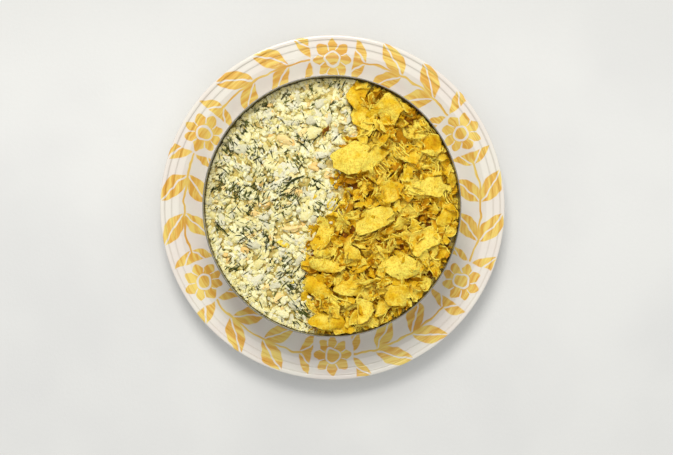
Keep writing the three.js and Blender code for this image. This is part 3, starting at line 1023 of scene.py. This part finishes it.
def make_crisps(ground):
    dice = random.Random(CRISP_SEED)
    uniform, gauss, draw = dice.uniform, dice.gauss, dice.random

    def shapes(seed, count, length, width, cell, curls, sway, crumple, cuts, most_breaks=0):
        """Crisps of one size, folded where pieces are broken off."""
        made = []
        for i in range(count):
            breaks = [uniform(0, 360) for _ in range(1 + i % most_breaks)] if most_breaks else ()
            fold = FOLDS[i % len(FOLDS)] if most_breaks else 0
            curl = curls[i % len(curls)]
            made.append(crisp_shape(seed + i, length, width, cell, curl, sway, crumple, cuts, breaks, fold))
        return made

    crumbs = Layer("crisp_crumbs", shapes(50, 8, 6, 4, 1.5, (0.9,), 1.5, 0.6, 6), ground)
    shards = Layer("crisp_shards", shapes(100, 16, 13, 9, 1.6, (-1.6, 1.6), 3, 1.3, 6, 2), ground)
    slivers = Layer("crisp_slivers", shapes(150, 8, 16, 5, 1.5, (1.6,), 4, 1.3, 7), ground)
    broken = Layer("broken_crisps", shapes(200, 18, 21, 16, 1.4, (-1.7, 1.9), 5, 2, 7, 3), ground)
    large = Layer("large_crisps", [
        crisp_shape(300 + i, length, width, 0.95, 1.5 * curl, 0.2 * length, crumple, 11, breaks)
        for i, (_, _, length, width, _, _, curl, breaks, crumple) in enumerate(LARGE_CRISPS)
    ], ground)

    def lay(
            layer, count, inset, least, most, lean, share, spacing=0, clear_of=(), place=on_heap, raised=0,
            tints=(0.2, 1)):
        """Strews crisps at some spacing. The inset, the spacing and how far they are raised are in millimetres."""
        places = []
        for _ in range(count):
            x, y = place(dice, inset * MM)
            for _ in range(30):
                if all(hypot(x - px, y - py) > spacing * MM for px, py in places):
                    break
                x, y = place(dice, inset * MM)
            if any(hypot(x - cx, y - cy) < reach for cx, cy, reach in clear_of) and draw() < 0.9:
                continue
            places.append((x, y))
            size = between(least, most, draw())
            turn = Euler((gauss(0, lean), gauss(0, lean), uniform(0, 6.3)), "ZYX")
            kind, scale = dice.randrange(len(layer.shapes)), (size, size * uniform(0.75, 1), size)
            tint = -0.12 if draw() < 0.025 else uniform(*tints)
            layer.lay(kind, x, y, turn, scale, tint, share, heap_ceiling(x, y) + raised * MM)

    # Painted shade: the lower layers get low tints, deeper in colour, and the later, higher ones paler tints
    lay(crumbs, 320, 0.5, 0.7, 1.4, 0.4, 0.4, 4, tints=(0, 0.25))
    lay(shards, 220, 1.5, 0.7, 1.1, 0.5, 0.45, 5, tints=(0, 0.5))
    tops = [(x * MM, y * MM, reach * MM) for x, y, reach in HOLLOWS]
    lay(broken, 100, 4, 0.7, 1, 0.4, 0.5, 10, tops, tints=(0.1, 0.8))
    lay(slivers, 40, 4, 0.8, 1.2, 1, 0.3, 8, tops)
    lay(shards, 130, 2, 0.6, 1.1, 0.6, 0.5, 6, tops, tints=(0.3, 1))
    lay(broken, 130, 4, 0.65, 1, 0.4, 0.6, 9, tops, tints=(0.4, 1))
    lay(shards, 70, 0, 0.4, 0.8, 0.4, 0.5, 3, place=by_crisp_wall)
    for i, (x, y, length, width, heading, rise, _, _, _) in enumerate(LARGE_CRISPS):
        # Painted light: the higher of the largest crisps get paler tints
        height_order = i / (len(LARGE_CRISPS) - 1)
        lean = Euler((-radians(rise), uniform(-0.08, 0.08), 0)).to_matrix()
        turn = (lean @ Euler((0, 0, radians(heading))).to_matrix()).to_euler()
        large.lay(
            i, x * MM, y * MM, turn, 1, between(0.55, 1, height_order), 0.82,
            heap_ceiling(x * MM, y * MM) + 2.2 * MM)
        tops.append((x * MM, y * MM, (length + width) * between(0.18, 0.28, height_order) * MM))
    for x, y, count, heading, row in SLIVER_ROWS:
        for step in range(count):
            away = (step - (count - 1) / 2) * uniform(1.8, 2.6)
            across, along = cos(radians(row)) * away, sin(radians(row)) * away
            turn = Euler((uniform(1, 1.5), gauss(0, 0.15), radians(heading + gauss(0, 7))))
            size = uniform(0.6, 1)
            slivers.lay(
                dice.randrange(8), (x + across) * MM, (y + along) * MM, turn, size, uniform(0.5, 1), 0.35,
                heap_ceiling(x * MM, y * MM) + 1.5 * MM)
    lay(broken, 110, 4, 0.5, 0.85, 0.4, 0.6, 9, tops, raised=1.5, tints=(0.5, 1))
    lay(slivers, 40, 4, 0.6, 1.1, 1, 0.3, 8, tops, raised=1, tints=(0.5, 1))
    lay(shards, 50, 2, 0.4, 0.9, 0.6, 0.55, 6, tops, raised=1, tints=(0.4, 1))
    lay(crumbs, 80, 0.5, 0.4, 0.9, 0.6, 0.6, 0, tops, raised=1)
    # Painted shade: the crumbs in the hollows get low tints, deeper in colour
    for x, y, reach in HOLLOWS:
        for _ in range(2 * reach):
            px, py = (x + gauss(0, reach / 2)) * MM, (y + gauss(0, reach / 2)) * MM
            turn = Euler((gauss(0, 0.6), gauss(0, 0.6), uniform(0, 6.3)))
            size = uniform(0.4, 0.9)
            crumbs.lay(
                dice.randrange(8), px, py, turn, size, uniform(0, 0.5), 0.6, heap_ceiling(px, py))
    for x, y, size, heading, stray_tint in STRAY_CRISPS:
        turn = Euler((0.1, 0.1, radians(heading)))
        layer, kind = (slivers, 2) if stray_tint < 0 else (shards, 3)
        layer.lay(kind, x * MM, y * MM, turn, size, stray_tint, 0.85, EGG_CEILING)
    golden = crisp_finish(
        "golden_crisp", rgb(108, 61, 6), rgb(200, 140, 12), rgb(233, 189, 30), rgb(249, 228, 96))
    return [layer.piece(golden, 50) for layer in (crumbs, shards, slivers, broken, large)]


# The floor, the light and the camera

ROOM_LOW, ROOM_HIGH = (0.34, 0.34, 0.33, 1), (0.74, 0.75, 0.76, 1)
WINDOW_RISE, WINDOW_HEADING, WINDOW_DISTANCE = radians(56), radians(97), 1.4
WINDOW_SIZE, WINDOW_POWER, WINDOW_COLOUR = 0.6, 11.4, (1, 0.97, 0.92)
CAMERA_PLACE = (3.3 * MM, -16.4 * MM, 0.94)
CAMERA_LENS, CAMERA_FILM = 60.44, 36


def make_stage():
    bpy.ops.mesh.primitive_plane_add(size=6, location=(0, 0, 0))
    floor = new_piece("floor")
    floor.data.materials.append(stoneware_floor())
    world = bpy.data.worlds.new("soft_room")
    bpy.context.scene.world = world
    world.use_nodes = True
    upward = axes(add("TexCoord", tree=world.node_tree).outputs["Generated"])[2]
    join(mix(ramp(upward, -0.1, 0.9), ROOM_LOW, ROOM_HIGH), "Color", "Background")
    window = bpy.data.lights.new("window", "AREA")
    set_all(window, shape="DISK", size=WINDOW_SIZE, energy=WINDOW_POWER, color=WINDOW_COLOUR)
    lamp = in_scene("window", window)
    lamp.location = WINDOW_DISTANCE * Vector(
        (cos(WINDOW_RISE) * cos(WINDOW_HEADING), cos(WINDOW_RISE) * sin(WINDOW_HEADING), sin(WINDOW_RISE)))
    lamp.rotation_euler = (-lamp.location).to_track_quat("-Z", "Y").to_euler()


def make_camera():
    lens = bpy.data.cameras.new("camera")
    set_all(lens, lens=CAMERA_LENS, sensor_width=CAMERA_FILM)
    camera = in_scene("camera", lens)
    camera.location = CAMERA_PLACE
    bpy.context.scene.camera = camera


make_camera()
make_stage()
set_all(bpy.context.scene.view_settings, view_transform="Standard", look="None")

body = [make_plate(), make_ring(), make_salad_core()]
ground = Ground()
egg = make_egg(ground)
dill = make_dill(ground)
mound = make_mound()
over_mound = np.maximum(ground.height, mound_height(ground.xs, ground.ys))
ground.height = np.where(ground.xs > front_at(ground.ys) + 3 * MM, over_mound, ground.height)
crisps = make_crisps(ground)
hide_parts("crushed_crisps")
for piece in body + egg + [dill, mound] + crisps:
    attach(piece, "root")
